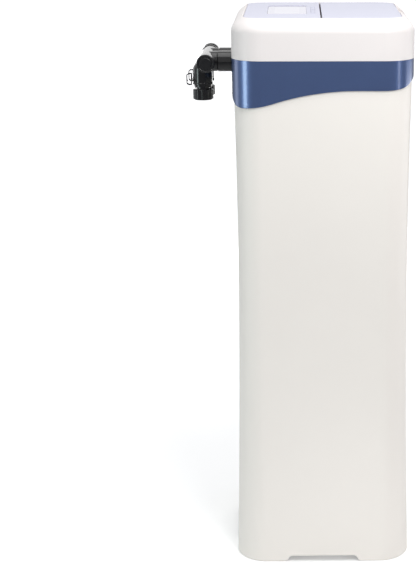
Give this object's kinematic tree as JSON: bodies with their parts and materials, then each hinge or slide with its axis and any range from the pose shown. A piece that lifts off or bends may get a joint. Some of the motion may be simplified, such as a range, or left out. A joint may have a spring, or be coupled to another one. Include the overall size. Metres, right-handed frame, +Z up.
{
  "type": "activated carbon water filter",
  "caption": "Floor-standing white cabinet filter with a blue wave band, hinged top lid, display panel, inner pressure vessel with carbon bed, motor valve and rear push-pull bypass.",
  "frame": {"origin": "on the floor, under the middle of the cabinet, at the underside of its centre foot", "axes": "+Z up, -Y towards the front (finger grip and front lid), +Y towards the rear (bypass valve), +X towards the water inlet's side"},
  "size_m": [0.389, 0.462, 1.1486],
  "materials": {
    "cabinet_white": "satin white moulding",
    "cover_white": "satin white moulding",
    "lid_white": "glossy cool white moulding",
    "band_blue": "glossy dark blue with a metallic sheen",
    "window_clear": "clear glossy window",
    "steel": "bright steel",
    "board_green": "green circuit board",
    "module_dark": "dark display block",
    "switch_black": "black",
    "plate_black": "black moulding",
    "vessel_shell": "wound glass fibre in resin",
    "boot_black": "black foot",
    "gravel": "washed gravel",
    "carbon": "black granules",
    "pipe_grey": "grey pipe",
    "strainer_white": "white slotted moulding",
    "seal_rubber": "black rubber",
    "valve_black": "glass-filled black moulding",
    "ceramic": "ground white ceramic",
    "gear_white": "white acetal",
    "brass": "cut brass",
    "turbine_blue": "blue moulding",
    "bypass_black": "glossy black moulding"
  },
  "bodies": {
    "filter": {"cabinet_body": "cabinet_white", "top_cover": "cover_white", "control_panel": "lid_white", "decor_band": "band_blue", "display_window": "window_clear", "lid_hinge_pins": "steel", "board_screws": "steel", "port_plate_screws": "steel", "bonnet_screws": "steel", "drive_motor": "steel", "display_board": "board_green", "display_module": "module_dark", "flow_sensor": "switch_black", "rear_port_plate": "plate_black", "power_socket": "plate_black", "drain_pipe": "plate_black", "drain_nut": "plate_black", "pressure_vessel": "vessel_shell", "vessel_boot": "boot_black", "gravel_bed": "gravel", "carbon_bed": "carbon", "riser_tube": "pipe_grey", "bottom_strainer": "strainer_white", "top_strainer": "strainer_white", "turbine_cage": "strainer_white", "neck_seal": "seal_rubber", "riser_seal": "seal_rubber", "shaft_seal": "seal_rubber", "disc_seal": "seal_rubber", "coupling_gaskets": "seal_rubber", "adapter_seals": "seal_rubber", "union_gaskets": "seal_rubber", "valve_body": "valve_black", "bonnet": "valve_black", "drive_bracket": "valve_black", "drive_cover": "valve_black", "fixed_disc": "ceramic", "bypass_body": "bypass_black", "coupling_inlet": "bypass_black", "coupling_outlet": "bypass_black", "inlet_adapter": "bypass_black", "outlet_adapter": "bypass_black", "inlet_clip": "bypass_black", "outlet_clip": "bypass_black", "inlet_union_nut": "bypass_black", "outlet_union_nut": "bypass_black"},
    "front_lid": {"front_lid": "lid_white"},
    "menu_button": {"menu_button": "lid_white"},
    "down_button": {"down_button": "lid_white"},
    "up_button": {"up_button": "lid_white"},
    "confirm_button": {"confirm_button": "lid_white"},
    "disc_drive": {"drive_shaft": "gear_white", "moving_disc": "ceramic", "drive_gear": "gear_white"},
    "motor_pinion": {"motor_pinion": "brass"},
    "flow_turbine": {"flow_turbine": "turbine_blue"},
    "bypass_spool": {"bypass_spool": "bypass_black", "near_knob": "bypass_black", "far_knob": "bypass_black", "spool_seals": "seal_rubber"}
  },
  "joints": [
    {"name": "front_lid_hinge", "type": "hinge", "parent": "filter", "child": "front_lid", "pos_m": [0, -0.012, 1.1395], "axis": [-1, 0, 0], "range_deg": [0, 95]},
    {"name": "menu_button_press", "type": "slide", "parent": "filter", "child": "menu_button", "axis": [0, 0, -1], "range_m": [0, 0.0005], "stiffness_N_per_m": 400, "springref_m": -0.001},
    {"name": "down_button_press", "type": "slide", "parent": "filter", "child": "down_button", "axis": [0, 0, -1], "range_m": [0, 0.0005], "stiffness_N_per_m": 400, "springref_m": -0.001},
    {"name": "up_button_press", "type": "slide", "parent": "filter", "child": "up_button", "axis": [0, 0, -1], "range_m": [0, 0.0005], "stiffness_N_per_m": 400, "springref_m": -0.001},
    {"name": "confirm_button_press", "type": "slide", "parent": "filter", "child": "confirm_button", "axis": [0, 0, -1], "range_m": [0, 0.0005], "stiffness_N_per_m": 400, "springref_m": -0.001},
    {"name": "disc_drive_turn", "type": "hinge", "parent": "filter", "child": "disc_drive", "pos_m": [0, 0.028, 1.07], "axis": [0, 0, 1], "continuous": true},
    {"name": "motor_pinion_turn", "type": "hinge", "parent": "filter", "child": "motor_pinion", "pos_m": [0, -0.0305, 1.09], "axis": [0, 0, 1], "continuous": true},
    {"name": "flow_turbine_spin", "type": "hinge", "parent": "filter", "child": "flow_turbine", "pos_m": [-0.028, 0.15, 1.0475], "axis": [0, 1, 0], "continuous": true},
    {"name": "bypass_spool_slide", "type": "slide", "parent": "filter", "child": "bypass_spool", "axis": [-1, 0, 0], "range_m": [0, 0.02]}
  ],
  "couplings": [
    {"joint": "motor_pinion_turn", "follows": "disc_drive_turn", "ratio": -3.875}
  ]
}
